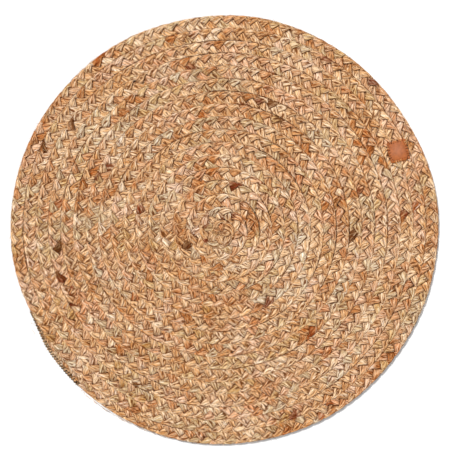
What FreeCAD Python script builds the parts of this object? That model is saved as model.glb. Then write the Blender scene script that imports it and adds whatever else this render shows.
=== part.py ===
"""Round jute rug: one flat three-strand plait, wound in a spiral and sewn row to row.

Millimetres. The origin is on the floor under the middle of the rug, and +Z is up.
The plait starts at its tapered outer end and winds anticlockwise, inwards, to the centre.
Angles are anticlockwise from +X and keep growing along the plait, past 360 degrees.
"""
import FreeCAD, Part
import math
import os

V = FreeCAD.Vector

# Driving dimensions
DIAMETER = 900.0            # the whole rug
ROW_PITCH = 26.4            # from one row of plait to the next
THICKNESS = 8.7             # of the plait
STRANDS = 3
TURNS = 17

# Spiral: each row keeps its radius, then steps in by one pitch over part of the turn
TAIL_TIP = math.radians(203.0)
STEP_START = math.radians(150.0)
STEP_SHARE = 0.375          # of a turn, over which a row steps in
SPLIT_ANGLE = math.radians(270.0)
INNER_ROWS = 12.5           # rows in from the rim where the even spiral begins to take over
INNER_BLEND = 3.0           # rows over which it takes over
START_RADIUS = 0.30 * ROW_PITCH     # of the row's middle line, where the plait starts
START_FULLNESS = 0.4        # share of its full size that the plait has there
CENTRE_DRIFT = (-9.0, -3.0)     # how far the spiral's middle lies from the rim's
RIM_WAVES = (4, 6, 10)          # crests in a turn, of each wave that makes the rim uneven
RIM_UNEVENNESS = 6.0            # a wave is this high, divided by its crests

# Plait: each strand swings from edge to edge of the row, and over and under the other two
REPEAT = 3.0 * 24.0         # length in which a strand comes back to the same edge
SWING = 8.8                 # sideways, each way from the row's middle
RISE = 2.65                 # up and down, each way from mid-thickness
STRAND_WIDTH_MIDDLE = 11.4
STRAND_WIDTH_EDGE = 7.6     # a strand folds narrower where it turns back at the row's edge
STRAND_DEPTH_MIDDLE = 3.3
STRAND_DEPTH_EDGE = 4.6
FOLD_SHARPNESS = 2.5        # power that keeps the narrow part close to the row's edge
STATIONS = 8                # sections in one repeat
LONGEST_STEP = 0.72         # radians between stations, where the spiral is tightest
FACE_REPEATS = 3            # repeats in one face of a strand's side
STRAND_SIDES = 6
FLAT_DEPTH = 0.25           # pressed flat on the floor, from each low bulge of a strand
MARGIN = 10.0               # of the block that is cut away below the floor, past the strand

# Sewing
SEAM_THREAD = 1.2           # diameter of the twine between the rows
SEAM_POINTS = 20            # in one turn
SEAM_END = 0.7 * ROW_PITCH  # radius at which the innermost seam stops
WHIPPING_TWINE = 2.2
WHIPPING_END = math.radians(227.0)
WHIPPING_WRAPS = 18
WRAP_POINTS = 8
CENTRE_TWINE = 1.4
CENTRE_STITCHES = 5
CENTRE_STITCH_NEAR = 4.0    # from the spiral's middle to a stitch's inner end
CENTRE_STITCH_FAR = 14.0
CENTRE_STITCH_PROUD = 0.35  # of the twine's middle, above the plait
# A centre stitch from its inner end to its outer one: share of its length, then of its height
CENTRE_STITCH_SHAPE = ((0.0, 0.0), (0.05, 0.7), (0.3, 1.0), (0.7, 1.0), (0.95, 0.7), (1.0, 0.0))
THREAD_SIDES = 6
NEARLY_UPRIGHT = 0.9        # upward share of a direction that counts as upright

# Leather patch
PATCH_ANGLE = math.radians(24.3)
PATCH_RADIUS = 402.0
PATCH_SLANT = math.radians(15.0)    # of its edges, from +X
PATCH_ACROSS = 42.0
PATCH_ALONG = 44.0
PATCH_THICKNESS = 1.8
PATCH_CORNER = 3.5
STITCH_HOLE = 1.5
STITCH_THREAD = 0.9
STITCH_INSET = 3.8          # from the patch's edge to the holes
STITCH_PITCH = 5.2
STITCH_OVERHANG = 1.6       # from the patch's edge to where the thread goes down
STITCH_DEPTH = 3.0          # below the patch
STITCH_CROWN = 0.2          # rise of a stitch over the patch's edge
STITCH_TURN = 0.6           # fall of a stitch to where it turns down
DRILL_MARGIN = 1.0          # of a hole's cutter, past each face of the patch

RIM_RADIUS = DIAMETER / 2
MID_HEIGHT = THICKNESS / 2
STRAND_HEIGHT = (THICKNESS - FLAT_DEPTH) / 2    # so that only the floor's side is pressed flat
FULL_TURN = 2 * math.pi


def smooth_step(x):
    """0 before x = 0, 1 after x = 1, and smooth between."""
    x = min(max(x, 0.0), 1.0)
    return x * x * (3 - 2 * x)


def rows_in(angle):
    """Rows between the rim and the plait at this angle along it."""
    turns = (angle - STEP_START) / FULL_TURN
    whole = math.floor(turns)
    stepped = whole - 1 + smooth_step((turns - whole) / STEP_SHARE)
    even = turns - (0.5 + STEP_SHARE / 2)
    blend = smooth_step((even - INNER_ROWS) / INNER_BLEND)
    return stepped * (1 - blend) + even * blend


def rim_wave(angle, radius):
    """The rim's unevenness, which fades towards the middle. Each wave lags the last by a radian."""
    height = sum(RIM_UNEVENNESS / crests * math.cos(crests * angle - lag)
                 for lag, crests in enumerate(RIM_WAVES))
    return height * (radius / RIM_RADIUS) ** 2


def row_edges(angle):
    """Inner and outer radius of the row at this angle along the plait, before the rim's waves."""
    inner = RIM_RADIUS - ROW_PITCH * (rows_in(angle) + 1)
    return inner, min(inner + ROW_PITCH, RIM_RADIUS)


def row_radius(angle):
    return sum(row_edges(angle)) / 2


def row_fullness(angle):
    """1 where the plait is full size, less where it tapers at its two ends."""
    inner, outer = row_edges(angle)
    start = smooth_step((row_radius(angle) - START_RADIUS) / ROW_PITCH)
    return (outer - inner) / ROW_PITCH * (START_FULLNESS + (1 - START_FULLNESS) * start)


def row_point(angle, outwards, height):
    """A point of the row: so far outwards from its middle line, at this height."""
    radius = row_radius(angle)
    radius += rim_wave(angle, radius) + outwards
    drift = (1 - row_radius(angle) / RIM_RADIUS) ** 2
    return V(radius * math.cos(angle) + CENTRE_DRIFT[0] * drift,
             radius * math.sin(angle) + CENTRE_DRIFT[1] * drift, height)


def plait_stations():
    """Angles of evenly spaced stations along the plait, from its outer tip to its inner end."""
    angles = []
    angle = TAIL_TIP
    while row_radius(angle) > START_RADIUS:
        angles.append(angle)
        angle += min(REPEAT / STATIONS / row_radius(angle), LONGEST_STEP)
    return angles


def pole_reach(step):
    """How far a curve through poles on a circle falls short of it, for this angle between poles."""
    return (4 + 2 * math.cos(step)) / 6


def strand_centre(angle, phase, at_end):
    """Centre of a strand's section. Poles inside the strand stand out, so that its surface doesn't."""
    step = FULL_TURN / STATIONS
    swing = SWING / (1 if at_end else pole_reach(step))
    rise = RISE / (1 if at_end else pole_reach(2 * step))
    fullness = row_fullness(angle)
    outwards = swing * fullness * math.sin(phase)
    return row_point(angle, outwards, STRAND_HEIGHT - rise * fullness * math.sin(2 * phase))


def strand_section(centre, forwards, angle, phase):
    """Poles round one section of a strand: an oval that lies flat across the strand."""
    across = V(forwards.y, -forwards.x, 0).normalize()
    up = across.cross(forwards).normalize()
    at_edge = abs(math.sin(phase)) ** FOLD_SHARPNESS
    fullness = row_fullness(angle)
    width = (STRAND_WIDTH_MIDDLE + (STRAND_WIDTH_EDGE - STRAND_WIDTH_MIDDLE) * at_edge) * fullness
    depth = STRAND_DEPTH_MIDDLE + (STRAND_DEPTH_EDGE - STRAND_DEPTH_MIDDLE) * at_edge
    depth *= START_FULLNESS + (1 - START_FULLNESS) * fullness
    return oval_poles(centre, across, up, width, depth)


def oval_poles(centre, across, up, width, depth, sides=STRAND_SIDES):
    """Corners of an oval section. They stand out enough for its flat sides to reach the oval."""
    step = FULL_TURN / sides
    reach = (1 + math.cos(step / 2)) / 2
    half_width = width / 2 / reach
    half_depth = depth / 2 / reach
    poles = []
    for index in range(sides):
        turn = index * step
        poles.append(centre + across * (half_width * math.cos(turn)) + up * (half_depth * math.sin(turn)))
    return poles


def side_faces(near, far):
    """Faces of one long side of a tube, between two lines of poles."""
    spans = len(near) - 3
    knots = [float(index) for index in range(spans + 1)]
    counts = [4] + [1] * (spans - 1) + [4]
    surface = Part.BSplineSurface()
    surface.buildFromPolesMultsKnots([near, far], [2, 2], counts, [0.0, 1.0], knots, False, False, 1, 3)
    pieces = max(round(spans / (FACE_REPEATS * STATIONS)), 1)
    faces = []
    for piece in range(pieces):
        part = surface.copy()
        part.segment(0.0, 1.0, round(spans * piece / pieces), round(spans * (piece + 1) / pieces))
        faces.append(part.toShape())
    return faces


def tube(sections):
    """A closed solid through rings of corners, with long smooth sides and two flat ends."""
    sides = len(sections[0])
    faces = []
    for side in range(sides):
        near = [section[side] for section in sections]
        far = [section[(side + 1) % sides] for section in sections]
        faces.extend(side_faces(near, far))
    for section in (sections[0], sections[-1]):
        faces.append(Part.Face(Part.makePolygon(section + section[:1])))
    shell = Part.Shell(faces)
    shell.sewShape()
    solid = Part.Solid(shell)
    if solid.Volume < 0:
        solid.reverse()
    return solid


def thread(path, diameter):
    """A closed tube of even thickness whose line runs smoothly along a path of points."""
    sections = []
    last = len(path) - 1
    side = V(0, 0, 1)
    for index, point in enumerate(path):
        forwards = (path[min(index + 1, last)] - path[max(index - 1, 0)]).normalize()
        if index == 0 and abs(forwards.z) > NEARLY_UPRIGHT:
            side = V(1, 0, 0)
        side = (side - forwards * side.dot(forwards)).normalize()
        sections.append(oval_poles(point, side, forwards.cross(side), diameter, diameter, THREAD_SIDES))
    return tube(sections)


def strand(angles, first, last, number):
    """One strand of the plait, between two stations."""
    centres = []
    for index in range(first, last + 1):
        phase = FULL_TURN * (index / STATIONS + number / STRANDS)
        centres.append(strand_centre(angles[index], phase, index in (first, last)))
    sections = []
    for place, index in enumerate(range(first, last + 1)):
        phase = FULL_TURN * (index / STATIONS + number / STRANDS)
        before = strand_centre(angles[max(index - 1, 0)], phase - FULL_TURN / STATIONS, True)
        end = min(index + 1, len(angles) - 1)
        after = strand_centre(angles[end], phase + FULL_TURN / STATIONS, True)
        sections.append(strand_section(centres[place], (after - before).normalize(), angles[index], phase))
    return tube(sections)


def pressed_flat(solid):
    """The solid with everything below the floor taken off, which leaves flats to rest on."""
    box = solid.BoundBox
    corner = V(box.XMin - MARGIN, box.YMin - MARGIN, -MARGIN)
    below = Part.makeBox(box.XLength + 2 * MARGIN, box.YLength + 2 * MARGIN, MARGIN, corner)
    return solid.cut(below)


def turn_splits(angles):
    """Stations where one turn of the plait ends and the next begins, from the rim inwards."""
    splits = [0]
    for turn in range(1, TURNS):
        limit = SPLIT_ANGLE + turn * FULL_TURN
        splits.append(next(i for i, angle in enumerate(angles) if angle >= limit))
    splits.append(len(angles) - 1)
    return splits


def plait():
    """Every turn's three strands, numbered from the centre outwards."""
    angles = plait_stations()
    splits = turn_splits(angles)
    nodes = {}
    for turn in range(TURNS):
        for number, letter in enumerate("abc"):
            solid = strand(angles, splits[turn], splits[turn + 1], number)
            nodes[f"turn_{TURNS - turn:02d}_strand_{letter}"] = pressed_flat(solid)
    return nodes


def seam_thread():
    """The twine in the seam between each row and the next one in, as one length."""
    path = []
    angle = SPLIT_ANGLE
    seam_radius = row_edges(angle)[0]
    while seam_radius > SEAM_END:
        path.append(row_point(angle, seam_radius - row_radius(angle), MID_HEIGHT))
        angle += FULL_TURN / SEAM_POINTS
        seam_radius = row_edges(angle)[0]
    return thread(path, SEAM_THREAD)


def centre_stitches():
    """Short stitches out from the middle, which hold the plait's inner end to the next row."""
    middle = V(CENTRE_DRIFT[0], CENTRE_DRIFT[1], MID_HEIGHT)
    rise = THICKNESS + CENTRE_STITCH_PROUD - MID_HEIGHT
    length = CENTRE_STITCH_FAR - CENTRE_STITCH_NEAR
    stitches = []
    for index in range(CENTRE_STITCHES):
        turn = index * FULL_TURN / CENTRE_STITCHES
        out = V(math.cos(turn), math.sin(turn), 0)
        path = []
        for along, up in CENTRE_STITCH_SHAPE:
            path.append(middle + out * (CENTRE_STITCH_NEAR + along * length) + V(0, 0, up * rise))
        stitches.append(thread(path, CENTRE_TWINE))
    return Part.makeCompound(stitches)


def tail_whipping():
    """Twine wound round the tapered outer end of the plait, as one length."""
    path = []
    points = WHIPPING_WRAPS * WRAP_POINTS
    for index in range(points + 1):
        angle = TAIL_TIP + (WHIPPING_END - TAIL_TIP) * index / points
        turn = index * FULL_TURN / WRAP_POINTS
        half_width = (SWING + STRAND_WIDTH_EDGE / 2) * row_fullness(angle)
        half_depth = MID_HEIGHT - WHIPPING_TWINE
        path.append(row_point(angle, half_width * math.cos(turn), MID_HEIGHT + half_depth * math.sin(turn)))
    return thread(path, WHIPPING_TWINE)


def patch_place(x, y, height):
    """A point of the patch: x across it and y along it, from its middle."""
    across = V(math.cos(PATCH_SLANT), math.sin(PATCH_SLANT), 0)
    along = V(-math.sin(PATCH_SLANT), math.cos(PATCH_SLANT), 0)
    middle = V(PATCH_RADIUS * math.cos(PATCH_ANGLE),
               PATCH_RADIUS * math.sin(PATCH_ANGLE), height)
    return middle + across * x + along * y


def stitch_places():
    """Each stitch hole's place on the patch, with the direction out to the nearest edge."""
    places = []
    for half, other, swap in ((PATCH_ACROSS / 2, PATCH_ALONG / 2, False),
                              (PATCH_ALONG / 2, PATCH_ACROSS / 2, True)):
        reach = other - STITCH_INSET - STITCH_PITCH / 2
        count = round(2 * reach / STITCH_PITCH) + 1
        for side in (-1, 1):
            for index in range(count):
                place = (side * (half - STITCH_INSET), -reach + 2 * reach * index / (count - 1))
                out = (side, 0)
                places.append((place[::-1], out[::-1]) if swap else (place, out))
    return places


def leather_patch():
    """A flat patch with round corners and a row of holes inside its edge."""
    plate = Part.makeBox(PATCH_ACROSS, PATCH_ALONG, PATCH_THICKNESS,
                         V(-PATCH_ACROSS / 2, -PATCH_ALONG / 2, 0))
    upright = [edge for edge in plate.Edges
               if abs(edge.tangentAt(edge.FirstParameter).z) > NEARLY_UPRIGHT]
    plate = plate.makeFillet(PATCH_CORNER, upright)
    drill = PATCH_THICKNESS + 2 * DRILL_MARGIN
    holes = [Part.makeCylinder(STITCH_HOLE / 2, drill, V(x, y, -DRILL_MARGIN))
             for (x, y), out in stitch_places()]
    plate = plate.cut(Part.makeCompound(holes))
    plate.rotate(V(0, 0, 0), V(0, 0, 1), math.degrees(PATCH_SLANT))
    plate.translate(patch_place(0, 0, THICKNESS))
    return plate


def patch_stitches():
    """One stitch from each hole, over the patch's edge and down into the plait."""
    top = THICKNESS + PATCH_THICKNESS + STITCH_THREAD / 2
    low = THICKNESS - STITCH_DEPTH
    stitches = []
    outside = STITCH_INSET + STITCH_OVERHANG
    for (x, y), (out_x, out_y) in stitch_places():
        path = [patch_place(x, y, height) for height in (low, THICKNESS, top)]
        for reach, height in ((STITCH_INSET, top + STITCH_CROWN), (outside, top - STITCH_TURN),
                              (outside, low)):
            path.append(patch_place(x + out_x * reach, y + out_y * reach, height))
        stitches.append(thread(path, STITCH_THREAD))
    return Part.makeCompound(stitches)


def export(name, shape):
    shape.exportStep(f"parts/{name}.step")


def main():
    os.makedirs("parts", exist_ok=True)
    for name, shape in plait().items():
        export(name, shape)
    export("seam_thread", seam_thread())
    export("centre_stitches", centre_stitches())
    export("tail_whipping", tail_whipping())
    export("leather_patch", leather_patch())
    export("patch_stitches", patch_stitches())


main()
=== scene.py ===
"""Looks of the round jute rug: strands of loose fibre, sewn seams, a bound tail and a leather patch."""
import math

import bpy
import numpy as np
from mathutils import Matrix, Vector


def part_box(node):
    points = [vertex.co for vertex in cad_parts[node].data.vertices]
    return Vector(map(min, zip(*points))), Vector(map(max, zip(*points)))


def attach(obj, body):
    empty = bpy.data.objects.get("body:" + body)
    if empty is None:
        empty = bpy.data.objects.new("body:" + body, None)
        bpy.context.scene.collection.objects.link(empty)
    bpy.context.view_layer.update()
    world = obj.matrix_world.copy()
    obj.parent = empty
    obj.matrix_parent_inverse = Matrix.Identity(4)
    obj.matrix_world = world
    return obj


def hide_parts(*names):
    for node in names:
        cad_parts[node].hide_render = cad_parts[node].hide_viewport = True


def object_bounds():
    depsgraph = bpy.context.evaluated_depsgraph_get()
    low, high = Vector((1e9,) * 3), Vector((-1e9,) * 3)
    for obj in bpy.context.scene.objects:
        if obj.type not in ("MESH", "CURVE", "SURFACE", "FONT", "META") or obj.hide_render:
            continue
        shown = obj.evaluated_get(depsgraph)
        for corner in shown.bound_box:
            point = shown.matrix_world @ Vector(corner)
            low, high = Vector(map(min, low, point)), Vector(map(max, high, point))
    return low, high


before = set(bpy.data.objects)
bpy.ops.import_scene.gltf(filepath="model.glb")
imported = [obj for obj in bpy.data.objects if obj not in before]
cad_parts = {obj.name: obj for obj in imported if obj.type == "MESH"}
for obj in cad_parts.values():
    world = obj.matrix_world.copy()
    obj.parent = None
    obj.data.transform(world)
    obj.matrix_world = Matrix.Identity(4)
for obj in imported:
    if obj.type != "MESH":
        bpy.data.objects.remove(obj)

cad_low, cad_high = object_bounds()

MM = 0.001
FULL_TURN = 2 * math.pi
STRAND_LETTERS = "abc"

# Seeds of what is random, so that each run gives the same rug
REPEAT_SEED = 5             # one for the three strands, because they stay in step
DARK_SEED = 17
SEAM_SEED = 21
CENTRE_SEED = 22
WHIPPING_SEED = 31
PATCH_SEED = 41
FIBRE_SEED = 51
STRAND_SEED = 100           # plus the strand's number

# The plait's line, as the CAD has it
RIM_RADIUS = 450 * MM
ROW_PITCH = 26.4 * MM
TURNS = 17
TAIL_TIP = math.radians(203)
STEP_START = math.radians(150)
STEP_SHARE = 0.375
SPLIT_ANGLE = math.radians(270)
INNER_ROWS = 12.5
INNER_BLEND = 3.0
CENTRE_DRIFT = (-9 * MM, -3 * MM)
RIM_WAVES = (4, 6, 10)          # crests in a turn, of each wave that makes the rim uneven
RIM_UNEVENNESS = 6 * MM         # a wave is this high, divided by its crests
REPEAT = 72 * MM                # length in which a strand comes back to the same edge
HALF_ROW = ROW_PITCH / 2

# The plait as it looks, where that differs from the CAD
INNER_END = -0.44 * ROW_PITCH   # where the row's middle line stops, past the spiral's middle
TAIL_TAPER = math.radians(14)
TAIL_BLUNTNESS = 0.1            # share of the taper that is cut off at the tip
THINNEST = 0.35                 # share of its full height that the plait has where it tapers to nothing
SWING = 13.0 * MM               # sideways, each way from the row's middle
SPREAD = 1.04                   # of the strands sideways, before the seams hold them back
STRAIGHTNESS = 0.94             # of a strand from seam to seam: 0 is a sine wave, 1 a zigzag
RISE = 2.3 * MM                 # up and down, each way from mid-height
HIGHEST = math.radians(122)     # middle of the stretch where a strand lies over the others
ON_TOP_MORE = 0.3               # how much longer that stretch is than the one underneath
DIVE_SHARPNESS = 1.7            # how suddenly a strand goes down under the next

# Strands: wider and softer than the CAD's bars, so that the plait closes up
PLAIT_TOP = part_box("turn_17_strand_a")[1][2]
MID_HEIGHT = PLAIT_TOP / 2
WIDTH_MIDDLE = 16.9 * MM
WIDTH_EDGE = 14.4 * MM
DEPTH_MIDDLE = 4.0 * MM
DEPTH_EDGE = 9.0 * MM
FOLD_SHARPNESS = 3.0
BOXINESS = 0.65             # of a strand's section: 1 is an oval, and less is squarer
SEAM_GROOVE = 0.24          # how much thinner a row gets at its seams
GROOVE_NARROWNESS = 10      # power that keeps the thinner part close to the seam
SEAM_OVERLAP = 0.75 * MM    # of each row, pressed into the next, on average
SEAM_UNEVENNESS = 0.5       # share of that overlap by which each wave changes it
SEAM_WAVES = ((2.3, 0.7, 1.0), (5.1, 0.0, 0.8), (9.7, 2.0, 0.6))    # crests in a turn, lead, height
STATION_STEP = 2.0 * MM
LONGEST_STEP = 0.16         # radians between stations, where the spiral is tightest
AROUND = 48
TOP_SHARE = 0.3             # how much closer a strand's points lie on top than at its sides
RELIEF = 0.42 * MM
TWIST_LENGTH = 130 * MM     # in which the fibres go once round their strand
ROUND_LENGTH = 4 * MM       # of the grain, in one radian round a strand
FLOOR_GAP = 0.05 * MM
NEARLY_UPRIGHT = 0.9        # upward share of a direction that counts as upright

# What is uneven by hand: by how much, over how many stations it changes, and its limits
REPEAT_UNEVEN = (0.28, 26)
SWING_UNEVEN = (0.07, 13, 0.0, 2.0)
RISE_UNEVEN = (0.14, 15, 0.6, 1.3)
WIDTH_UNEVEN = (0.13, 10, 0.92, 1.28)
DEPTH_UNEVEN = (0.10, 10, 0.8, 1.15)
CREASE_UNEVEN = (0.7, 12, 0.0, 2.2)
STREAK_UNEVEN = (0.22, 12, 0.5, 1.8)

# Ribbons of fibre on a strand, with creases between them
CREASES = ((4, 0.22), (8, 0.36), (12, 0.50), (18, 0.55))    # how many round it, how deep
RIBBON_ROUNDNESS = 0.6      # power that makes the ribbons round and the creases narrow
RIBBON_MEAN = 0.72          # mean height of a ribbon
RIBBON_HEIGHT = 1.6
CREASE_DRIFT = ((1.8, 40), (0.8, 9))    # sideways: by how much, over how many stations
KNOBBLES = (0.14, 3)        # small bumps: their height and length

# Shade, painted on: 0 is the jute's own colour, and 1 is all CREASE
SHADE_IN_CREASE = 1.9       # for each unit that a crease is deep
MOST_IN_CREASE = 0.9
SHADE_BESIDE = 0.95         # at a strand's sides
BESIDE_FROM = (0.25, 0.5)   # of its half height: where that shade is full, and what it fades over
SHADE_BETWEEN = 0.8         # at mid-height, between strands
BETWEEN_FROM = (0.12, 0.45)
SHADE_AT_SEAM = 0.95
SEAM_FROM = (0.86, 0.09)    # of half a row: where that shade begins, and what it deepens over
MOST_SHADE = 0.95
SEAM_SHADED = (0.48, 0.5, 6)    # share of the seam in shade: mean, change, stations

# Colours of the jute, as light reflected in sRGB, with how often each comes up
JUTE = (
    ((0.90, 0.73, 0.55), 9),
    ((0.95, 0.80, 0.63), 6),
    ((0.89, 0.70, 0.53), 6),
    ((0.88, 0.74, 0.55), 3),
    ((0.86, 0.75, 0.60), 2),
    ((0.92, 0.74, 0.59), 3),
    ((0.84, 0.62, 0.42), 2),
)
SEAM_COLOUR = (0.86, 0.71, 0.54)
CENTRE_COLOUR = (0.74, 0.55, 0.36)
WHIPPING_COLOUR = (0.42, 0.34, 0.23)
LEATHER_EDGE = (0.67, 0.35, 0.10)
# Painted highlight: the paler tan of a sheen on the patch's middle
LEATHER_SHEEN_MIDDLE = (0.72, 0.44, 0.29)
THREAD_COLOURS = ((0.78, 0.46, 0.18), (0.62, 0.33, 0.11), (0.88, 0.66, 0.42), (0.36, 0.19, 0.07))
ORANGE_BROWN = (0.70, 0.40, 0.20)
RED_BROWN = (0.50, 0.22, 0.11)
DARK_BROWN = (0.42, 0.27, 0.14)
CREASE = (0.42, 0.22, 0.07)     # jute in the shade between strands
SHADE_RUN = (18, 75)            # millimetres of one shade, along a strand
SHADE_POWER = (0.80, 1.22)      # each length's colour is raised to a power in this range
SHADE_BLEND = 5                 # stations over which one shade turns into the next
# Dark lengths that stand out: rows in from the rim, angle in degrees, colour
DARK_LENGTHS = (
    (0, 45, RED_BROWN), (0, 125, ORANGE_BROWN), (0, 325, DARK_BROWN), (1, 155, DARK_BROWN),
    (1, 290, RED_BROWN), (3, 100, RED_BROWN), (3, 205, RED_BROWN), (3, 240, DARK_BROWN),
    (4, 310, ORANGE_BROWN), (5, 15, RED_BROWN), (6, 70, DARK_BROWN), (10, 300, RED_BROWN),
    (13, 75, RED_BROWN), (16, 200, RED_BROWN),
)
MORE_DARK_LENGTHS = 20      # of the same three colours, at random places
DARK_HALF = (11, 18)        # millimetres, half of a dark length
DARK_REACH = 20             # stations each way that it can touch
DARK_ROWS = 0.6             # how near to its row a strand has to be
DARK_ENDS = (2.5, 3)        # how uneven its ends are: stations, and points round the strand
DARK_COVER = (0.85, 0.3, 2)     # share of the jute's colour that it hides: mean, change, points
DARK_TONE = (0.85, 1.15)


def linear(colour):
    """Linear light of an sRGB colour."""
    colour = np.asarray(colour, float)
    return np.where(colour <= 0.04045, colour / 12.92, ((colour + 0.055) / 1.055) ** 2.4)


def smooth_step(x):
    """From 0 to 1 as x does, with an easy start and end, and no further."""
    x = np.clip(x, 0.0, 1.0)
    return x * x * (3 - 2 * x)


def wander(rng, count, spacing):
    """Smooth random values about 0, one a sample, that change over about so many samples."""
    knots = rng.normal(size=int(count / spacing) + 4)
    places = np.arange(count) / spacing
    whole = places.astype(int)
    share = smooth_step(places - whole)
    return knots[whole] * (1 - share) + knots[whole + 1] * share


def uneven(rng, count, settings):
    """A factor about 1 for each station, from how uneven it is, over how many, and its limits."""
    strength, spacing, least, most = settings
    return np.clip(1 + strength * wander(rng, count, spacing), least, most)


def all_round(rng, count, spacing):
    """Smooth random values along a strand, on their own for each point round it."""
    return np.stack([wander(rng, count, spacing) for _ in range(AROUND)], axis=-1)


# ------------------------ the plait's line

def rows_in(angle):
    """Rows between the rim and the plait: steps near the rim, an even spiral near the middle."""
    turns = (angle - STEP_START) / FULL_TURN
    whole = np.floor(turns)
    stepped = whole - 1 + smooth_step((turns - whole) / STEP_SHARE)
    even = turns - (0.5 + STEP_SHARE / 2)
    blend = smooth_step((even - INNER_ROWS) / INNER_BLEND)
    return stepped * (1 - blend) + even * blend


def row_edges(angle):
    """Where each row meets the next one in and the next one out."""
    outer = np.minimum(RIM_RADIUS - ROW_PITCH * rows_in(angle), RIM_RADIUS)
    return RIM_RADIUS - ROW_PITCH * rows_in(angle + FULL_TURN), outer


def row_radius(angle):
    inner, outer = row_edges(angle)
    return (inner + outer) / 2


def row_limits(angle):
    """Inner and outer side of the row from its middle line. Its two ends taper to nothing."""
    inner, outer = row_edges(angle)
    low = np.maximum(-(outer - inner) / 2, -(inner + outer) / 2)
    taper = smooth_step((angle - TAIL_TIP) / TAIL_TAPER + TAIL_BLUNTNESS)
    return low, low + ((outer - inner) / 2 - low) * taper


def seam_pressed(angle):
    """How far a row is pressed into the one outside it: unevenly, and not at all at the rim."""
    waves = sum(height * np.sin(crests * angle + lead) for crests, lead, height in SEAM_WAVES)
    return SEAM_OVERLAP * (1 + SEAM_UNEVENNESS * waves) * smooth_step(rows_in(angle))


def row_fullness(angle):
    """1 where the plait is full size, less towards its two ends."""
    low, high = row_limits(angle)
    return (high - low) / ROW_PITCH


def row_points(angle, outwards, height):
    """Points of the row, so far outwards from its middle line."""
    middle = row_radius(angle)
    waves = sum(RIM_UNEVENNESS / crests * np.cos(crests * angle - lag)
                for lag, crests in enumerate(RIM_WAVES))
    radius = middle + waves * (middle / RIM_RADIUS) ** 2 + outwards
    drift = (1 - middle / RIM_RADIUS) ** 2
    x = radius * np.cos(angle) + CENTRE_DRIFT[0] * drift
    y = radius * np.sin(angle) + CENTRE_DRIFT[1] * drift
    return np.stack([x, y, np.broadcast_to(height, x.shape)], axis=-1)


def plait_angles():
    """Angles of stations along the plait, from its outer tip to its inner end."""
    angles = [TAIL_TIP]
    while row_radius(angles[-1]) > INNER_END:
        radius = max(float(row_radius(angles[-1])), STATION_STEP / LONGEST_STEP)
        angles.append(angles[-1] + STATION_STEP / radius)
    return np.array(angles)


def soft_limit(x, sharpness=6):
    """x where it is small, and never past 1 or -1."""
    return x / (1 + np.abs(x) ** sharpness) ** (1 / sharpness)


def unit(vectors):
    return vectors / np.maximum(np.linalg.norm(vectors, axis=-1, keepdims=True), 1e-12)


# ------------------------ meshes

def make_object(name, points, faces, body="root"):
    """A mesh object from arrays of points and of three- or four-cornered faces."""
    mesh = bpy.data.meshes.new(name)
    faces = np.asarray(faces)
    mesh.vertices.add(len(points))
    mesh.vertices.foreach_set("co", np.ascontiguousarray(points, dtype=np.float32).ravel())
    mesh.loops.add(faces.size)
    mesh.loops.foreach_set("vertex_index", faces.astype(np.int32).ravel())
    mesh.polygons.add(len(faces))
    mesh.polygons.foreach_set("loop_start", np.arange(0, faces.size, faces.shape[1], dtype=np.int32))
    mesh.polygons.foreach_set("use_smooth", np.ones(len(faces), dtype=bool))
    mesh.update(calc_edges=True)
    mesh.validate()
    piece = bpy.data.objects.new(name, mesh)
    bpy.context.scene.collection.objects.link(piece)
    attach(piece, body)
    return piece


def paint(piece, colours):
    """Gives each point of a mesh its own colour, in linear light."""
    layer = piece.data.color_attributes.new("fibre", "FLOAT_COLOR", "POINT")
    values = np.ones((len(colours), 4), dtype=np.float32)
    values[:, :3] = colours
    layer.data.foreach_set("color", values.ravel())


def lay_grain(piece, along, across):
    """Keeps each point's distance along and round its strand, for fibres in the material."""
    mesh = piece.data
    layer = mesh.uv_layers.new(name="grain")
    corners = np.empty(len(mesh.loops), dtype=np.int32)
    mesh.loops.foreach_get("vertex_index", corners)
    round_it = across[corners].reshape(-1, 4)
    half_round = FULL_TURN / 2 * ROUND_LENGTH
    wraps = round_it.max(axis=1, keepdims=True) - round_it > half_round
    values = np.stack([along[corners], (round_it + 2 * half_round * wraps).ravel()], axis=-1)
    layer.data.foreach_set("uv", values.astype(np.float32).ravel())


def tube_faces(rings, around):
    """Quads round the side of a tube."""
    ring = np.arange(rings - 1)[:, None] * around
    near = np.arange(around)[None, :]
    far = (near + 1) % around
    quads = np.stack([ring + near, ring + far, ring + around + far, ring + around + near], axis=-1)
    return quads.reshape(-1, 4)


def end_caps(rings, around):
    """Flat ends of a tube with an even number of sides, as strips of quads."""
    caps = []
    last = (rings - 1) * around
    for index in range(around // 2 - 1):
        a, b = index, index + 1
        c, d = around - 2 - index, around - 1 - index
        caps.append((a, d, c, b))
        caps.append((last + a, last + b, last + c, last + d))
    return np.array(caps)


def round_tube(path, radius, around=6):
    """Points and faces of a closed round tube along a path. The radius may change along it."""
    path = np.asarray(path)
    radius = np.broadcast_to(radius, len(path))
    forwards = unit(np.gradient(path, axis=0))
    upright = abs(forwards[0][2]) >= NEARLY_UPRIGHT
    start = np.array([1.0, 0.0, 0.0] if upright else [0.0, 0.0, 1.0])
    side = np.empty_like(path)
    for index, direction in enumerate(forwards):
        start = start - direction * start.dot(direction)
        start = start / np.linalg.norm(start)
        side[index] = start
    other = np.cross(forwards, side)
    turn = np.arange(around) * FULL_TURN / around
    ring = side[:, None] * np.cos(turn)[None, :, None] + other[:, None] * np.sin(turn)[None, :, None]
    points = path[:, None] + ring * radius[:, None, None]
    faces = np.concatenate([tube_faces(len(path), around), end_caps(len(path), around)])
    return points.reshape(-1, 3), faces


def join_parts(parts):
    """One set of points and faces from many."""
    points = np.concatenate([part[0] for part in parts])
    starts = np.cumsum([0] + [len(part[0]) for part in parts[:-1]])
    faces = np.concatenate([part[1] + start for part, start in zip(parts, starts)])
    return points, faces


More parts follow.
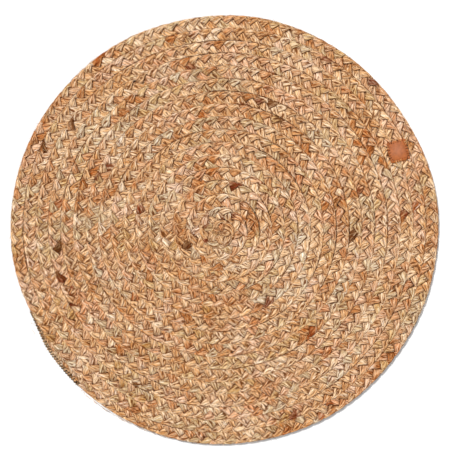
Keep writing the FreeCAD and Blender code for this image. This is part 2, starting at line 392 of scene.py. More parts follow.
# ------------------------ strands

def jute_shades():
    """Each shade of jute in linear light, as many times as it comes up."""
    return np.array([linear(colour) for colour, often in JUTE for _ in range(often)])


def length_colours(rng, count):
    """Colour along a strand: lengths of jute of different shades, each blending into the next."""
    shades = jute_shades()
    colours = np.empty((count, 3))
    at = 0
    while at < count:
        run = int(rng.uniform(*SHADE_RUN) * MM / STATION_STEP)
        colours[at:at + run] = shades[rng.integers(len(shades))] ** rng.uniform(*SHADE_POWER)
        at += run
    blend = np.ones(SHADE_BLEND) / SHADE_BLEND
    margin = SHADE_BLEND // 2
    padded = np.pad(colours, ((margin, margin), (0, 0)), mode="edge")
    return np.stack([np.convolve(padded[:, i], blend, mode="valid") for i in range(3)], axis=-1)


def dark_lengths():
    """The dark lengths that stand out, and more of them spread at random over the rug."""
    rng = np.random.default_rng(DARK_SEED)
    colours = (ORANGE_BROWN, RED_BROWN, DARK_BROWN)
    more = []
    for _ in range(MORE_DARK_LENGTHS):
        rows = (TURNS - 1) * (1 - math.sqrt(rng.uniform()))
        more.append((rows, rng.uniform(0, 360), colours[rng.integers(3)]))
    return DARK_LENGTHS + tuple(more)


def darken_lengths(painted, angles, number, rng):
    """Adds the dark lengths: each is a bundle of fibres that start and end at different places."""
    depth = rows_in(angles)
    turned = np.degrees(angles) % 360
    stations = np.arange(len(angles))
    ragged, ends_apart = DARK_ENDS
    cover, cover_change, cover_apart = DARK_COVER
    for rows, degrees, colour in dark_lengths()[number::len(STRAND_LETTERS)]:
        in_row = np.abs(depth - rows) <= DARK_ROWS
        apart = np.where(in_row, np.abs((turned - degrees + 180) % 360 - 180), np.inf)
        centre = int(np.argmin(apart))
        half = rng.uniform(*DARK_HALF) * MM / STATION_STEP
        ends = half + ragged * wander(rng, AROUND, ends_apart)
        near = slice(max(centre - DARK_REACH, 0), centre + DARK_REACH)
        inside = ends[None, :] - np.abs(stations[near, None] - centre)
        hidden = np.clip(cover + cover_change * wander(rng, AROUND, cover_apart), 0, 1)
        share = (smooth_step(inside / 2 + 0.5) * hidden)[..., None]
        dark = linear(colour) * rng.uniform(*DARK_TONE)
        painted[near] = painted[near] * (1 - share) + dark * share
    return painted


def strand_shape(angles, number, rng):
    """A strand's swing, lean, height and size at each station, with hand-made unevenness."""
    count = len(angles)
    change, spacing = REPEAT_UNEVEN
    tight = wander(np.random.default_rng(REPEAT_SEED), count, spacing) * change
    share = number / len(STRAND_LETTERS)
    phase = FULL_TURN * (np.arange(count) * STATION_STEP / REPEAT + share) + tight
    swing = np.arcsin(STRAIGHTNESS * np.sin(phase)) / math.asin(STRAIGHTNESS)
    outwards = SWING * uneven(rng, count, SWING_UNEVEN) * swing
    lean = np.arctan(np.gradient(outwards) / STATION_STEP)
    rise = RISE * uneven(rng, count, RISE_UNEVEN)
    height = rise * np.tanh(DIVE_SHARPNESS * (np.cos(2 * (phase - HIGHEST)) + ON_TOP_MORE))
    at_edge = np.abs(np.sin(phase)) ** FOLD_SHARPNESS
    width = WIDTH_MIDDLE + (WIDTH_EDGE - WIDTH_MIDDLE) * at_edge
    depth = DEPTH_MIDDLE + (DEPTH_EDGE - DEPTH_MIDDLE) * at_edge
    width = width * uneven(rng, count, WIDTH_UNEVEN)
    depth = depth * uneven(rng, count, DEPTH_UNEVEN)
    return outwards, lean, height, width, depth


def fibre_twist(count):
    """How far the fibres have gone round their strand at each station."""
    return FULL_TURN * np.arange(count) * STATION_STEP / TWIST_LENGTH


def fibre_relief(rng, count):
    """Height of the ribbons of fibre over a strand: round tops, and narrow creases between them."""
    turn = round_turns()
    relief = np.zeros((count, AROUND))
    for creases, share in CREASES:
        drift = creases / 2 * fibre_twist(count)
        for sideways, spacing in CREASE_DRIFT:
            drift = drift + sideways * wander(rng, count, spacing)
        strength = share * uneven(rng, count, CREASE_UNEVEN)
        wave = np.abs(np.sin(creases / 2 * turn[None, :] + drift[:, None])) ** RIBBON_ROUNDNESS
        relief += strength[:, None] * (wave - RIBBON_MEAN) * RIBBON_HEIGHT
    bump, length = KNOBBLES
    return relief + bump * all_round(rng, count, length)


def in_the_shade(points, fullness):
    """How deep each point lies between the strands, from 0 on either face to 1 at mid-height."""
    from_middle = np.abs(points[..., 2] - MID_HEIGHT) / (MID_HEIGHT * np.maximum(fullness, 0.5)[:, None])
    return 1 - smooth_step((from_middle - BETWEEN_FROM[0]) / BETWEEN_FROM[1])


def round_turns():
    """Angles round a strand, from its outer side over its top, closer together on top."""
    even = np.arange(AROUND) * FULL_TURN / AROUND
    return even + TOP_SHARE * np.cos(even)


def boxy(share):
    """A sine or cosine that makes a squarer section than an oval."""
    return np.sign(share) * np.abs(share) ** BOXINESS


def strand_surface(angles, shape, relief):
    """Points of a whole strand, ring by ring, with their angles and places between the seams."""
    outwards, lean, height, width, depth = shape
    turn = round_turns()
    lift = RELIEF * relief
    aside = width[:, None] / 2 * boxy(np.cos(turn)) + lift * np.cos(turn)
    ahead = -aside * np.sin(lean)[:, None]
    radius = np.maximum(row_radius(angles), STATION_STEP / LONGEST_STEP)
    place = angles[:, None] + ahead / radius[:, None]
    low, high = row_limits(place)
    fullness = (high - low) / ROW_PITCH
    across = soft_limit(SPREAD * (outwards[:, None] + aside * np.cos(lean)[:, None]) / HALF_ROW)
    low = low - seam_pressed(place + FULL_TURN)
    high = high + seam_pressed(place)
    side = (low + high) / 2 + across * (high - low) / 2
    up = soft_limit((height[:, None] + depth[:, None] / 2 * boxy(np.sin(turn))) / MID_HEIGHT)
    up = up * (1 - SEAM_GROOVE * across ** GROOVE_NARROWNESS) * MID_HEIGHT + lift * np.sin(turn)
    points = row_points(place, side, MID_HEIGHT + up * (THINNEST + (1 - THINNEST) * fullness))
    points[..., 2] = np.maximum(points[..., 2], FLOOR_GAP)
    return points, place, across


def seam_shade(place, across, rng):
    """How much each point lies in a seam's shade, which comes and goes along the seam."""
    near_seam = smooth_step((np.abs(across) - SEAM_FROM[0]) / SEAM_FROM[1])
    has_neighbour = np.where(across > 0, smooth_step(rows_in(place)), 1.0)
    mean, change, spacing = SEAM_SHADED
    broken = np.clip(mean + change * wander(rng, len(place), spacing), 0.0, 1)[:, None]
    return SHADE_AT_SEAM * near_seam * has_neighbour * broken


def strand_shades(angles, number, rng):
    """Colours of a strand's points by daylight: shades of jute, streaks and dark lengths."""
    count = len(angles)
    strength, spacing, least, most = STREAK_UNEVEN
    streak = np.clip(1 + strength * all_round(rng, count, spacing), least, most)
    return darken_lengths(length_colours(rng, count)[:, None] ** streak[..., None], angles, number, rng)


def strand_points(angles, number):
    """Points of a whole strand, ring by ring, with their colours and grain."""
    rng = np.random.default_rng(STRAND_SEED + number)
    shape = strand_shape(angles, number, rng)
    count = len(angles)
    relief = fibre_relief(rng, count)
    points, place, across = strand_surface(angles, shape, relief)
    painted = strand_shades(angles, number, rng)
    turn = round_turns()
    beside = 1 - smooth_step((np.abs(np.sin(turn)) - BESIDE_FROM[0]) / BESIDE_FROM[1])
    shade = np.clip(-SHADE_IN_CREASE * relief, 0, MOST_IN_CREASE) + SHADE_BESIDE * beside
    shade = shade + SHADE_BETWEEN * in_the_shade(points, row_fullness(angles))
    shade = np.clip(shade + seam_shade(place, across, rng), 0, MOST_SHADE)[..., None]
    painted = painted * (1 - shade) + np.minimum(painted, linear(CREASE)) * shade
    along = np.broadcast_to((np.arange(count) * STATION_STEP)[:, None], (count, AROUND))
    round_it = (turn[None, :] + fibre_twist(count)[:, None]) * ROUND_LENGTH
    return points, painted, along, round_it


def turn_splits(angles):
    """First station of each turn, from the rim inwards, and the last station of all."""
    limits = SPLIT_ANGLE + FULL_TURN * np.arange(1, TURNS)
    return [0] + [int(np.searchsorted(angles, limit)) for limit in limits] + [len(angles) - 1]


def build_strands(angles, material):
    splits = turn_splits(angles)
    for number, letter in enumerate(STRAND_LETTERS):
        points, painted, along, round_it = strand_points(angles, number)
        for index in range(TURNS):
            part = slice(splits[index], splits[index + 1] + 1)
            rings = part.stop - part.start
            faces = np.concatenate([tube_faces(rings, AROUND), end_caps(rings, AROUND)])
            turn = TURNS - index
            piece = make_object(f"jute_{turn:02d}_{letter}", points[part].reshape(-1, 3), faces)
            paint(piece, painted[part].reshape(-1, 3))
            lay_grain(piece, along[part].ravel(), round_it[part].ravel())
            piece.data.materials.append(material)
            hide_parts(f"turn_{turn:02d}_strand_{letter}")


# ------------------------ sewing

SEAM_STITCH_PITCH = 14.5 * MM
SEAM_THREAD_RADIUS = 0.62 * MM
SEAM_STITCH_SPAN = 8.5 * MM
SEAM_SLANT = 2.6 * MM
SEAM_STOP = 0.7 * ROW_PITCH     # radius at which the innermost seam stops
STITCH_HEIGHT = 0.90            # of a stitch's middle, as a share of the plait's
STITCH_DIVE = 3.4 * MM          # of a stitch's ends
RUNNING_STEP = 0.06             # radians between points of the thread inside the rug
RUNNING_HEIGHT = 0.30           # of that thread, as a share of the plait's
RUNNING_WAVE = 0.4 * MM
RUNNING_CRESTS = 31             # of its wave, in one turn
RUNNING_THICKER = 1.9           # than a stitch, because several lengths lie together
# Painted shade: the lacing inside a seam is made darker because it lies deep in the seam's shade
RUNNING_SHADE_TONE = 0.45


def seam_angles():
    """Angles of the stitches in the seams, evenly spaced along them, from the rim inwards."""
    places = []
    angle = SPLIT_ANGLE
    while row_edges(angle)[0] > SEAM_STOP:
        places.append(angle)
        angle += SEAM_STITCH_PITCH / float(row_edges(angle)[0])
    return np.array(places)


def build_seam_thread(material):
    """Slanting stitches over each seam, which go down into the rows on both sides."""
    rng = np.random.default_rng(SEAM_SEED)
    share = np.linspace(-1, 1, 9)
    parts = []
    shades = []
    for angle in seam_angles():
        span = SEAM_STITCH_SPAN / 2 * rng.uniform(0.75, 1.2)
        slant = SEAM_SLANT * rng.uniform(0.4, 1.5) / float(row_radius(angle))
        start = angle + rng.uniform(-1.5, 1.5) * MM / float(row_radius(angle))
        seam = row_edges(angle)[0] - row_radius(angle)
        height = PLAIT_TOP * STITCH_HEIGHT + rng.uniform(-0.4, 0.3) * MM
        height = height - STITCH_DIVE * np.abs(share) ** 3
        path = row_points(start + slant * share, seam + span * share, height)
        part = round_tube(path, SEAM_THREAD_RADIUS * rng.uniform(0.8, 1.2))
        parts.append(part)
        shades.append(np.full(len(part[0]), rng.uniform(0.45, 1.15)))
    # The lacing thread inside the rug along the seams, which also hides the floor in their gaps,
    # darkened with painted shade
    running = np.arange(SPLIT_ANGLE, seam_angles()[-1], RUNNING_STEP)
    height = PLAIT_TOP * RUNNING_HEIGHT + RUNNING_WAVE * np.sin(running * RUNNING_CRESTS)
    path = row_points(running, row_edges(running)[0] - row_radius(running), height)
    parts.append(round_tube(path, SEAM_THREAD_RADIUS * RUNNING_THICKER))
    shades.append(np.full(len(parts[-1][0]), RUNNING_SHADE_TONE))
    points, faces = join_parts(parts)
    piece = make_object("seam_stitches", points, faces)
    paint(piece, linear(SEAM_COLOUR)[None] * np.concatenate(shades)[:, None])
    piece.data.materials.append(material)
    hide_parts("seam_thread")


CENTRE_STITCHES = 5
CENTRE_TWINE_RADIUS = 0.65 * MM
CENTRE_REACH = 9.0 * MM         # from the middle to the middle of a stitch
CENTRE_HALF_SPAN = 4.6 * MM
CENTRE_SLANT = 1.2 * MM
CENTRE_SUNK = 1.0 * MM          # below the top of the CAD's stitches
CENTRE_DIVE = 4.0 * MM


def build_centre_stitches(material):
    """Twine over the plait's inner end."""
    rng = np.random.default_rng(CENTRE_SEED)
    low, high = (np.array(corner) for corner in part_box("centre_stitches"))
    middle = (low + high) / 2
    share = np.linspace(-1, 1, 11)
    parts = []
    for index in range(CENTRE_STITCHES):
        turn = index * FULL_TURN / CENTRE_STITCHES + rng.uniform(-0.5, 0.5)
        out = np.array([math.cos(turn), math.sin(turn), 0])
        side = np.array([-out[1], out[0], 0]) * CENTRE_SLANT
        reach = CENTRE_REACH + CENTRE_HALF_SPAN * share
        path = middle + out * reach[:, None] + side * share[:, None]
        path[:, 2] = high[2] - CENTRE_SUNK - CENTRE_DIVE * np.abs(share) ** 3
        parts.append(round_tube(path, CENTRE_TWINE_RADIUS))
    points, faces = join_parts(parts)
    piece = make_object("centre_twine", points, faces)
    paint(piece, np.tile(linear(CENTRE_COLOUR), (len(points), 1)))
    piece.data.materials.append(material)
    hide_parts("centre_stitches")


WHIPPING_END = math.radians(227)
WHIPPING_WRAPS = 30
WHIPPING_REACH = 3.3 * MM   # half of how far in from the rim the twine reaches
WHIPPING_PROUD = 0.8 * MM   # of the rim
WHIPPING_LIFT = 0.9 * MM    # of the twine's middle over the plait's
WHIPPING_RADIUS = 1.15 * MM
WRAP_SAMPLES = 20
WRAP_FLATTER = 0.4 * MM     # than the plait, each way from mid-height
WRAP_AT_TIP = 0.85          # share of its full height that the binding has at the tip
WRAP_UNEVEN = (0.25, 25)    # turned: radians, and over how many samples it changes
WRAP_DRIFT = (0.0012, 12)   # along the rim: radians, samples
WRAP_LOOSE = (0.3 * MM, 15)
PLIES = 2
PLY_TURNS = 2.4             # of the twine's own twist, in one wrap
PLY_OFFSET = 0.5            # of a ply from the twine's middle, as a share of its radius
PLY_RADIUS = 0.62
PLY_SIDES = 6
PLY_TONE = (1.1, 1.3, 10)   # of its colour: mean, change, samples
PLY_TONES = (0.2, 4.0)      # darkest and lightest


def build_whipping(material):
    """Coarse two-ply twine wound round the tapered tail, uneven and a little loose."""
    rng = np.random.default_rng(WHIPPING_SEED)
    count = WHIPPING_WRAPS * WRAP_SAMPLES
    share = np.linspace(0, 1, count)
    turn = FULL_TURN * WHIPPING_WRAPS * share + WRAP_UNEVEN[0] * wander(rng, count, WRAP_UNEVEN[1])
    angle = TAIL_TIP + (WHIPPING_END - TAIL_TIP) * share
    angle = angle + WRAP_DRIFT[0] * wander(rng, count, WRAP_DRIFT[1])
    low, high = row_limits(angle)
    half_width = np.minimum((high - low) / 2, WHIPPING_REACH)
    half_width = half_width + WRAP_LOOSE[0] * wander(rng, count, WRAP_LOOSE[1])
    half_depth = (MID_HEIGHT - WRAP_FLATTER) * (WRAP_AT_TIP + (1 - WRAP_AT_TIP) * share)
    path = row_points(angle, high + WHIPPING_PROUD - half_width + half_width * boxy(np.cos(turn)),
                      MID_HEIGHT + WHIPPING_LIFT + half_depth * boxy(np.sin(turn)))
    forwards = unit(np.gradient(path, axis=0))
    side = unit(np.cross(forwards, np.array([0.02, 0.03, 1.0])))
    other = np.cross(forwards, side)
    parts = []
    shades = []
    for ply in range(PLIES):
        spin = PLY_TURNS * turn + ply * FULL_TURN / PLIES
        offset = side * np.cos(spin)[:, None] + other * np.sin(spin)[:, None]
        ply_path = path + offset * WHIPPING_RADIUS * PLY_OFFSET
        parts.append(round_tube(ply_path, WHIPPING_RADIUS * PLY_RADIUS, PLY_SIDES))
        mean, change, spacing = PLY_TONE
        tone = np.clip(mean + change * wander(rng, count, spacing), *PLY_TONES)
        shades.append(np.repeat(tone, PLY_SIDES))
    points, faces = join_parts(parts)
    points[:, 2] = np.maximum(points[:, 2], FLOOR_GAP)
    piece = make_object("tail_twine", points, faces)
    paint(piece, linear(WHIPPING_COLOUR)[None] * np.concatenate(shades)[:, None])
    piece.data.materials.append(material)
    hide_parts("tail_whipping")


# ------------------------ leather patch

PATCH_ACROSS = 42 * MM
PATCH_ALONG = 44 * MM
PATCH_SLANT = math.radians(15)
PATCH_GRID = 90
PATCH_STITCH_PITCH = 5.2 * MM
STITCH_INSET = 3.8 * MM
STITCH_UNEVEN = 0.6 * MM
STITCH_WAVE = 0.47 * MM     # along an edge, in one radian of that unevenness
HOLE_RADIUS = 0.8 * MM
HOLE_DEPTH = 1.3 * MM
PUCKER_RADIUS = 2.6 * MM    # of the dip round each hole
PUCKER_DEPTH = 0.28 * MM
DARK_RING_RADIUS = 1.1 * MM      # of the darker leather round each hole
DARK_RING_STRENGTH = 0.75
PATCH_CORNER = 0.035        # how far a corner is rounded off, as a share of half the patch
EDGE_SHARPNESS = 22         # power that keeps the rounding close to the patch's edge
PATCH_SAG = 0.35 * MM
SAG_LENGTHS = (7.3 * MM, 8.1 * MM)      # across and along, in one radian of the sag's waves
UNDERSIDE_SUNK = 0.4 * MM
UNDERSIDE_TONE = 0.8


def patch_middle():
    """The patch's middle, and the heights of its underside and top."""
    low, high = (np.array(corner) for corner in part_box("leather_patch"))
    return (low + high) / 2, low[2], high[2]


def patch_turned(flat):
    """Points of the patch, from x across it and y along it to the rug's own place."""
    middle = patch_middle()[0]
    across = np.array([math.cos(PATCH_SLANT), math.sin(PATCH_SLANT)])
    along = np.array([-math.sin(PATCH_SLANT), math.cos(PATCH_SLANT)])
    placed = flat.copy()
    placed[..., :2] = flat[..., :1] * across + flat[..., 1:2] * along + middle[:2]
    return placed


def patch_stitches():
    """Each stitch hole's place on the patch, and the way out to the nearest edge."""
    places = []
    for half, other, swap in ((PATCH_ACROSS / 2, PATCH_ALONG / 2, False),
                              (PATCH_ALONG / 2, PATCH_ACROSS / 2, True)):
        reach = other - STITCH_INSET - PATCH_STITCH_PITCH / 2
        for side in (-1, 1):
            for run in np.linspace(-reach, reach, round(2 * reach / PATCH_STITCH_PITCH) + 1):
                shift = STITCH_UNEVEN * math.sin(run / STITCH_WAVE + 3 * side + 5 * swap)
                place = (side * (half - STITCH_INSET) + shift, run + shift)
                out = (side, 0)
                places.append((place[::-1], out[::-1]) if swap else (place, out))
    return places


def patch_outline(u, v):
    """Half the patch's size in the direction of a grid point: round corners and hand-cut edges."""
    corner = PATCH_CORNER * (u * v) ** 4
    ragged = 0.012 * np.sin(5 * v + 1.3) + 0.010 * np.sin(7 * u + 0.4) + 0.008 * np.sin(11 * (u - v))
    return 1 - corner + ragged * np.maximum(np.abs(u), np.abs(v)) ** 2


def patch_relief(x, y):
    """How far the stitches pull each point of the leather down, and how much darker it is there, near a
    hole.
    """
    pull = np.zeros_like(x)
    near_hole = np.zeros_like(x)
    for (hole_x, hole_y), _out in patch_stitches():
        apart = np.hypot(x - hole_x, y - hole_y)
        pull += HOLE_DEPTH * np.exp(-(apart / HOLE_RADIUS) ** 2)
        pull += PUCKER_DEPTH * np.exp(-(apart / PUCKER_RADIUS) ** 2)
        # The leather is made darker close to each hole
        near_hole += np.exp(-(apart / DARK_RING_RADIUS) ** 2)
    return pull, near_hole


def patch_faces():
    """Faces of the patch's top and underside, which share the points on its edge."""
    index = np.arange(PATCH_GRID * PATCH_GRID).reshape(PATCH_GRID, PATCH_GRID)
    quads = np.stack([index[:-1, :-1], index[1:, :-1], index[1:, 1:], index[:-1, 1:]], axis=-1)
    quads = quads.reshape(-1, 4)
    rim = np.ones_like(index, dtype=bool)
    rim[1:-1, 1:-1] = False
    under = np.where(rim, index, index + index.size)
    return np.concatenate([quads, under.ravel()[quads][:, ::-1]])


def patch_colours(u, v, near_hole):
    """Tan leather, paler in the middle with a painted sheen, and darker at the stitch holes."""
    # Painted highlight: the sheen fades from the middle towards the edges
    middle_sheen = np.exp(-((u + 0.02) ** 2 + (v - 0.1) ** 2) * 2.4)[..., None]
    colours = linear(LEATHER_EDGE) * (1 - middle_sheen) + linear(LEATHER_SHEEN_MIDDLE) * middle_sheen
    return colours * (1 - DARK_RING_STRENGTH * np.clip(near_hole, 0, 1))[..., None]


def build_patch(material):
    """Soft leather, pulled down by its stitches, with a hole at each."""
    _, base, top = patch_middle()
    steps = np.linspace(-1, 1, PATCH_GRID)
    u, v = np.meshgrid(steps, steps, indexing="ij")
    size = patch_outline(u, v)
    x = u * size * PATCH_ACROSS / 2
    y = v * size * PATCH_ALONG / 2
    crown = np.sqrt(np.clip(1 - np.maximum(np.abs(u), np.abs(v)) ** EDGE_SHARPNESS, 0, 1))
    sag = PATCH_SAG * np.sin(x / SAG_LENGTHS[0] + 0.8) * np.sin(y / SAG_LENGTHS[1] + 0.3)
    pull, near_hole = patch_relief(x, y)
    upper = np.stack([x, y, base + (top - base + sag - pull) * crown], axis=-1)
    lower = np.stack([x, y, base + (sag - UNDERSIDE_SUNK) * crown], axis=-1)
    points = patch_turned(np.concatenate([upper.reshape(-1, 3), lower.reshape(-1, 3)]))
    used, renumbered = np.unique(patch_faces(), return_inverse=True)
    piece = make_object("leather_tag", points[used], renumbered.reshape(-1, 4))
    colours = patch_colours(u, v, near_hole).reshape(-1, 3)
    paint(piece, np.concatenate([colours, colours * UNDERSIDE_TONE])[used])
    piece.data.materials.append(material)
    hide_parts("leather_patch")


PATCH_THREAD_RADIUS = 0.7 * MM
STITCH_START = 1.0 * MM         # of a stitch's inner end, below the patch
STITCH_OUTER_DROP = 1.2 * MM    # how much lower its outer end is
STITCH_PROUD = 0.25 * MM        # of the patch
STITCH_FLATNESS = 0.45          # power that keeps a stitch flat on top


def build_patch_stitches(material):
    """Thread from each hole over the patch's edge and down between the strands."""
    rng = np.random.default_rng(PATCH_SEED)
    _, base, top = patch_middle()
    share = np.linspace(0, 1, 15)
    parts = []
    shades = []
    for (x, y), (out_x, out_y) in patch_stitches():
        reach = STITCH_INSET + rng.uniform(1.0, 3.6) * MM
        skew = rng.uniform(-1.2, 1.2) * MM
        arch = np.sin(math.pi * share) ** STITCH_FLATNESS
        flat = np.zeros((len(share), 3))
        flat[:, 0] = x + out_x * reach * share + out_y * skew * share
        flat[:, 1] = y + out_y * reach * share + out_x * skew * share
        rise = top - base + STITCH_START + STITCH_PROUD
        flat[:, 2] = base - STITCH_START + rise * arch - STITCH_OUTER_DROP * share ** 3
        part = round_tube(patch_turned(flat), PATCH_THREAD_RADIUS * rng.uniform(0.75, 1.3))
        parts.append(part)
        colour = linear(THREAD_COLOURS[rng.integers(len(THREAD_COLOURS))]) * rng.uniform(0.8, 1.15)
        shades.append(np.tile(colour, (len(part[0]), 1)))
    points, faces = join_parts(parts)
    piece = make_object("patch_thread_stitches", points, faces)
    paint(piece, np.concatenate(shades))
    piece.data.materials.append(material)
    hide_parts("patch_stitches")


# ------------------------ loose fibres

LOOSE_FIBRES = 9000
FIBRE_GROUPS = 4            # so that no one piece has too many faces
FIBRE_SAMPLES = 7
FIBRE_RADIUS = 0.2 * MM
FIBRE_SIDES = 4
AT_RIM = 0.05               # share of the fibres that stand out from the rim
# Painted shade: these fibres take the dark colour of jute in shade
SHADED_FIBRES = 0.45          # share of all the fibres that are dark


def fibre_path(rng, angles):
    """One loose fibre's line: over the plait, or out from the rim."""
    share = np.linspace(0, 1, FIBRE_SAMPLES)
    angle = float(angles[rng.integers(len(angles))])
    at_rim = rng.uniform() < AT_RIM
    outwards = rng.uniform(-0.46, 0.46) * ROW_PITCH
    if at_rim:
        angle = TAIL_TIP + rng.uniform(0.45, FULL_TURN)
        outwards = 0.44 * ROW_PITCH
    length = rng.uniform(6, 20) * MM
    heading = rng.normal(0, 0.55) + (0.5 if rng.uniform() < 0.5 else -0.5)
    bend = rng.normal(0, 0.35)
    travel = angle + length * share * math.cos(heading) / float(row_radius(angle))
    side = outwards + length * (share * math.sin(heading) + bend * share ** 2 * 0.5)
    if at_rim:
        side = outwards + rng.uniform(0.6, 3.2) * MM * np.sin(share * rng.uniform(1.4, 3.0))
    lift = PLAIT_TOP + rng.uniform(-1.0, 0.4) * MM
    drop = rng.uniform(0.6, 2.2) * MM
    height = lift - drop * (2 * share - 1) ** 2
    if at_rim:
        height = rng.uniform(0.35, 0.75) * PLAIT_TOP + rng.normal(0, 0.7) * MM * share
    return row_points(travel, side, height)


def fibre_colour(rng, shades):
    """Mostly a shade of jute, and often dark with painted shade, in the colour of jute in a crease."""
    colour = shades[rng.integers(len(shades))] * rng.uniform(0.8, 1.2)
    if rng.uniform() < SHADED_FIBRES:
        colour = linear(CREASE) * rng.uniform(0.7, 1.6)
    return colour


def build_loose_fibres(angles, material):
    """Fine ends of fibre that lie on the plait and stand a little proud of it and of its rim."""
    rng = np.random.default_rng(FIBRE_SEED)
    radius = FIBRE_RADIUS * (1.1 - 0.7 * np.linspace(0, 1, FIBRE_SAMPLES))
    shades = jute_shades()
    parts = []
    painted = []
    for _ in range(LOOSE_FIBRES):
        part = round_tube(fibre_path(rng, angles), radius, FIBRE_SIDES)
        parts.append(part)
        painted.append(np.tile(fibre_colour(rng, shades), (len(part[0]), 1)))
    for group in range(FIBRE_GROUPS):
        points, faces = join_parts(parts[group::FIBRE_GROUPS])
        piece = make_object(f"loose_fibres_{group + 1}", points, faces)
        paint(piece, np.concatenate(painted[group::FIBRE_GROUPS]))
        piece.data.materials.append(material)


# ------------------------ camera, light and floor

FRAME_SIZE = 949 * MM           # of the floor that the camera sees
CAMERA_LENS = 85.0
CAMERA_SENSOR = 36.0
CAMERA_OFFSET = (1 * MM, 10 * MM)       # from the rug's middle
FLOOR_HALF = 30.0


def add_camera():
    """A camera straight above the rug."""
    data = bpy.data.cameras.new("view")
    data.lens = CAMERA_LENS
    data.sensor_width = CAMERA_SENSOR
    camera = bpy.data.objects.new("view", data)
    bpy.context.scene.collection.objects.link(camera)
    middle = (cad_low + cad_high) / 2
    distance = FRAME_SIZE * CAMERA_LENS / CAMERA_SENSOR
    camera.location = (middle.x + CAMERA_OFFSET[0], middle.y + CAMERA_OFFSET[1], distance)
    bpy.context.scene.camera = camera


def add_light(name, place, spread, strength):
    """A soft light that falls evenly from one direction. Its spread is in degrees."""
    data = bpy.data.lights.new(name, "SUN")
    data.angle = math.radians(spread)
    data.energy = strength
    lamp = bpy.data.objects.new(name, data)
    lamp.location = place
    aim = -np.array(place)
    lamp.rotation_euler = (math.atan2(math.hypot(aim[0], aim[1]), -aim[2]), 0,
                           math.atan2(aim[1], aim[0]) - math.pi / 2)
    bpy.context.scene.collection.objects.link(lamp)


def add_world(strength):
    """Even white light from all round."""
    world = bpy.data.worlds.new("studio")
    world.use_nodes = True
    background = world.node_tree.nodes["Background"]
    background.inputs["Color"].default_value = (1, 1, 1, 1)
    background.inputs["Strength"].default_value = strength
    bpy.context.scene.world = world


def add_floor():
    """A plain pale floor, which isn't part of the rug."""
    corners = [(x * FLOOR_HALF, y * FLOOR_HALF, 0) for x, y in ((-1, -1), (1, -1), (1, 1), (-1, 1))]
    mesh = bpy.data.meshes.new("floor")
    mesh.from_pydata(corners, [], [(0, 1, 2, 3)])
    floor = bpy.data.objects.new("floor", mesh)
    bpy.context.scene.collection.objects.link(floor)
    material = bpy.data.materials.new("floor")
    material.use_nodes = True
    shader = material.node_tree.nodes["Principled BSDF"]
    shader.inputs["Base Color"].default_value = (0.98, 0.98, 0.98, 1)
    shader.inputs["Roughness"].default_value = 0.9
    shader.inputs["Specular IOR Level"].default_value = 0.1
    mesh.materials.append(material)


# ------------------------ materials

# Cells of noise in a metre. In a strand, that is along it and round it
FINE_FIBRES = (110, 3600, 1)
FIBRE_BUNDLES = (60, 900, 1)
SLITS = (85, 620, 1)            # between bundles
PATCHY = 9.0                    # of the whole rug
TWINE_FIBRES = 1900.0
LEATHER_CELLS = 1300.0
LEATHER_MOTTLE = 160.0


class Nodes:
    """Adds and links the nodes of one material."""

    def __init__(self, name):
        self.material = bpy.data.materials.new(name)
        self.material.use_nodes = True
        self.tree = self.material.node_tree
        self.shader = self.tree.nodes["Principled BSDF"]

    def add(self, kind, **settings):
        node = self.tree.nodes.new(kind)
        for key, value in settings.items():
            setattr(node, key, value)
        return node

    def link(self, source, target):
        self.tree.links.new(source, target)

    def scaled(self, source, scale):
        node = self.add("ShaderNodeMapping")
        node.inputs["Scale"].default_value = scale
        self.link(source, node.inputs["Vector"])
        return node.outputs["Vector"]

    def noise(self, vector, scale, detail, roughness=0.6):
        node = self.add("ShaderNodeTexNoise")
        node.inputs["Scale"].default_value = scale
        node.inputs["Detail"].default_value = detail
        node.inputs["Roughness"].default_value = roughness
        self.link(vector, node.inputs["Vector"])
        return node.outputs["Fac"]

    def remap(self, source, low, high, new_low, new_high):
        node = self.add("ShaderNodeMapRange")
        node.inputs["From Min"].default_value = low
        node.inputs["From Max"].default_value = high
        node.inputs["To Min"].default_value = new_low
        node.inputs["To Max"].default_value = new_high
        self.link(source, node.inputs["Value"])
        return node.outputs["Result"]

    def math(self, operation, first, second):
        node = self.add("ShaderNodeMath", operation=operation)
        for socket, value in zip(node.inputs, (first, second)):
            if isinstance(value, (int, float)):
                socket.default_value = value
            else:
                self.link(value, socket)
        return node.outputs["Value"]

    def tinted(self, colour, value):
        node = self.add("ShaderNodeVectorMath", operation="SCALE")
        self.link(colour, node.inputs[0])
        self.link(value, node.inputs["Scale"])
        return node.outputs["Vector"]

    def deepened(self, colour, power):
        """The colour raised to a power: over 1 it gets darker and richer, and under 1 paler."""
        node = self.add("ShaderNodeGamma")
        self.link(colour, node.inputs["Color"])
        self.link(power, node.inputs["Gamma"])
        return node.outputs["Color"]

    def bump(self, height, strength, distance):
        node = self.add("ShaderNodeBump")
        node.inputs["Strength"].default_value = strength
        node.inputs["Distance"].default_value = distance
        self.link(height, node.inputs["Height"])
        self.link(node.outputs["Normal"], self.shader.inputs["Normal"])

    def fixed(self, **values):
        for name, value in values.items():
            self.shader.inputs[name.replace("_", " ")].default_value = value


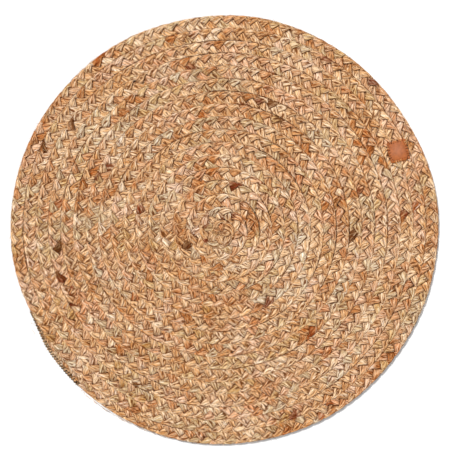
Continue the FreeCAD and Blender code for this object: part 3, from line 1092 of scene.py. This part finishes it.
def jute_material():
    """Dry, slightly silky fibre, streaked along each strand, with painted shade in the slits between its
    bundles.
    """
    nodes = Nodes("jute_fibre")
    grain = nodes.add("ShaderNodeUVMap", uv_map="grain").outputs["UV"]
    paint_in = nodes.add("ShaderNodeAttribute", attribute_name="fibre").outputs["Color"]
    place = nodes.add("ShaderNodeTexCoord").outputs["Object"]
    fine = nodes.noise(nodes.scaled(grain, FINE_FIBRES), 1.0, detail=5)
    broad = nodes.noise(nodes.scaled(grain, FIBRE_BUNDLES), 1.0, detail=3)
    slits = nodes.noise(nodes.scaled(grain, SLITS), 1.0, detail=2)
    patchy = nodes.noise(place, PATCHY, detail=3)
    bright = nodes.math("MULTIPLY", nodes.remap(fine, 0.25, 0.75, 0.42, 1.62),
                        nodes.remap(broad, 0.35, 0.65, 0.86, 1.10))
    deep = nodes.math("MULTIPLY", nodes.remap(broad, 0.35, 0.65, 1.45, 0.70),
                      nodes.remap(patchy, 0.3, 0.7, 1.3, 0.78))
    # Painted shade: dark slits between fibre bundles, in the colour of jute in shade
    slit_shade = nodes.add("ShaderNodeMix", data_type="RGBA")
    nodes.link(nodes.remap(slits, 0.54, 0.62, 0.0, 0.92), slit_shade.inputs[0])
    nodes.link(nodes.tinted(nodes.deepened(paint_in, deep), bright), slit_shade.inputs[6])
    slit_shade.inputs[7].default_value = (*linear(CREASE), 1)
    nodes.link(slit_shade.outputs[2], nodes.shader.inputs["Base Color"])
    nodes.link(nodes.remap(fine, 0.2, 0.8, 0.58, 0.86), nodes.shader.inputs["Roughness"])
    nodes.bump(nodes.math("ADD", fine, broad), strength=0.8, distance=0.35 * MM)
    nodes.fixed(Specular_IOR_Level=0.08)
    return nodes.material


def twine_material(name, rough):
    """Twisted twine, with the colour painted on it."""
    nodes = Nodes(name)
    paint_in = nodes.add("ShaderNodeAttribute", attribute_name="fibre").outputs["Color"]
    place = nodes.add("ShaderNodeTexCoord").outputs["Object"]
    fibre = nodes.noise(place, TWINE_FIBRES, detail=4)
    nodes.link(nodes.tinted(paint_in, nodes.remap(fibre, 0.25, 0.75, 0.7, 1.25)),
               nodes.shader.inputs["Base Color"])
    nodes.link(nodes.remap(fibre, 0.2, 0.8, rough - 0.12, rough + 0.1),
               nodes.shader.inputs["Roughness"])
    nodes.bump(fibre, strength=0.7, distance=0.25 * MM)
    nodes.fixed(Specular_IOR_Level=0.3)
    return nodes.material


def leather_material():
    """Smooth tan leather with a fine grain, mottled and duller in patches."""
    nodes = Nodes("tan_leather")
    paint_in = nodes.add("ShaderNodeAttribute", attribute_name="fibre").outputs["Color"]
    place = nodes.add("ShaderNodeTexCoord").outputs["Object"]
    cells = nodes.add("ShaderNodeTexVoronoi", feature="DISTANCE_TO_EDGE")
    cells.inputs["Scale"].default_value = LEATHER_CELLS
    nodes.link(place, cells.inputs["Vector"])
    grain = nodes.remap(cells.outputs["Distance"], 0.0, 0.25, 0.0, 1.0)
    mottle = nodes.noise(place, LEATHER_MOTTLE, detail=5)
    nodes.link(nodes.tinted(paint_in, nodes.remap(mottle, 0.3, 0.7, 0.76, 1.2)),
               nodes.shader.inputs["Base Color"])
    nodes.link(nodes.remap(mottle, 0.3, 0.7, 0.42, 0.62), nodes.shader.inputs["Roughness"])
    height = nodes.math("ADD", grain, nodes.math("MULTIPLY", mottle, 1.5))
    nodes.bump(height, strength=0.45, distance=0.2 * MM)
    nodes.fixed(Specular_IOR_Level=0.45)
    return nodes.material


# ------------------------ the scene

add_camera()
add_light("key", place=(-1.5, 1.9, 2.8), spread=14, strength=3.1)
add_light("fill", place=(1.6, -1.2, 2.4), spread=40, strength=0.5)
add_world(strength=0.35)
bpy.context.scene.view_settings.view_transform = "Standard"
add_floor()

stations = plait_angles()
jute = jute_material()
twine = twine_material("jute_twine", rough=0.75)
build_strands(stations, jute)
build_seam_thread(twine)
build_centre_stitches(twine)
build_whipping(twine_material("whipping_twine", rough=0.85))
build_patch(leather_material())
build_patch_stitches(twine_material("patch_thread", rough=0.6))
build_loose_fibres(stations, twine_material("loose_fibre", rough=0.7))
